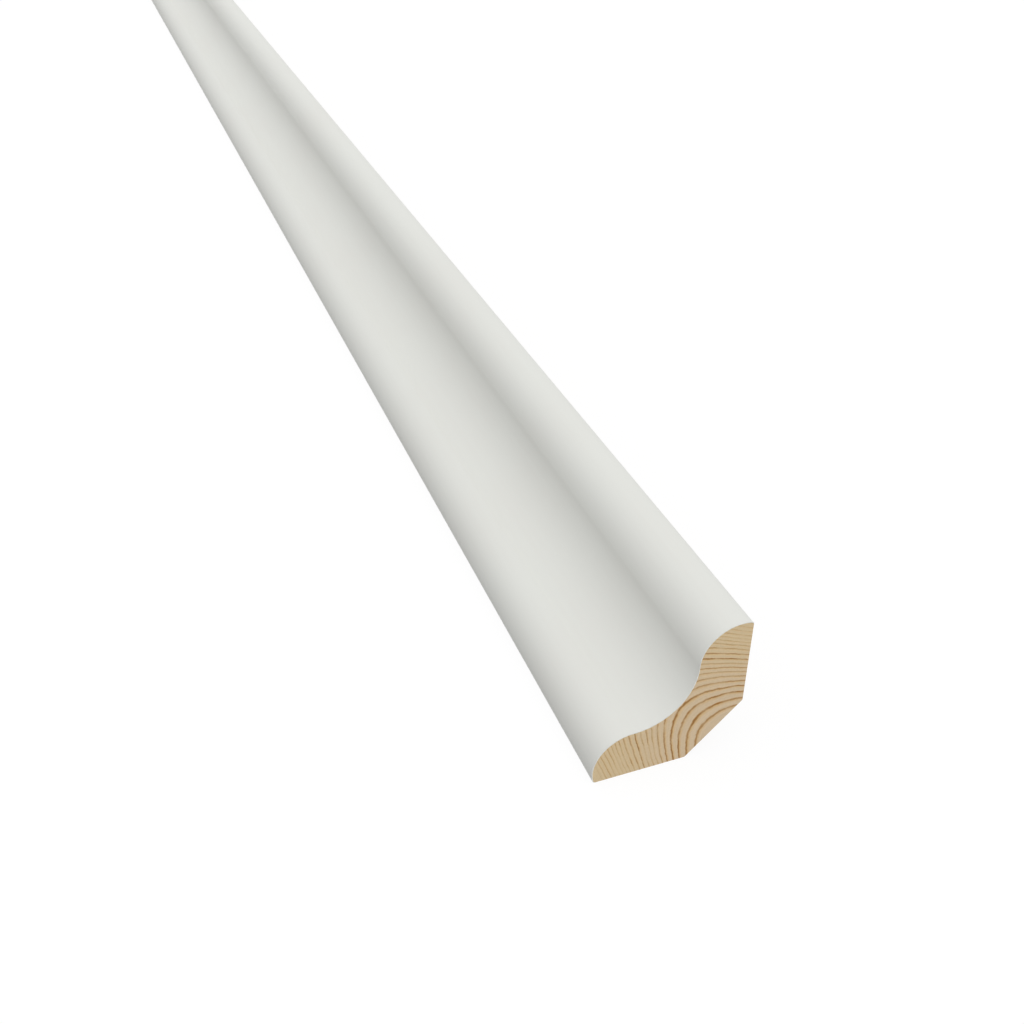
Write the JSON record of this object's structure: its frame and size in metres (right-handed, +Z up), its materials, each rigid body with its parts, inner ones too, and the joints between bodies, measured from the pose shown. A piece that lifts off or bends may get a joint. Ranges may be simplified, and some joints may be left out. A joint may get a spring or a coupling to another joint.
{
  "type": "scotia moulding",
  "caption": "Straight length of scotia moulding: two square flats for a floor and a wall, a hollow cove between two rounded noses and a chamfered back corner.",
  "frame": {"origin": "middle of the length and of the width, on the level of the floor flat", "axes": "+Y along the length, +X towards the wall flat, +Z up from the floor flat; the cove faces -X and +Z"},
  "size_m": [0.021, 2.4, 0.021],
  "materials": {
    "painted_softwood": "smooth satin white paint on the moulded front, bare pale softwood on the sawn ends and the hidden back faces"
  },
  "bodies": {
    "root": {"scotia_moulding": "painted_softwood"}
  },
  "joints": []
}
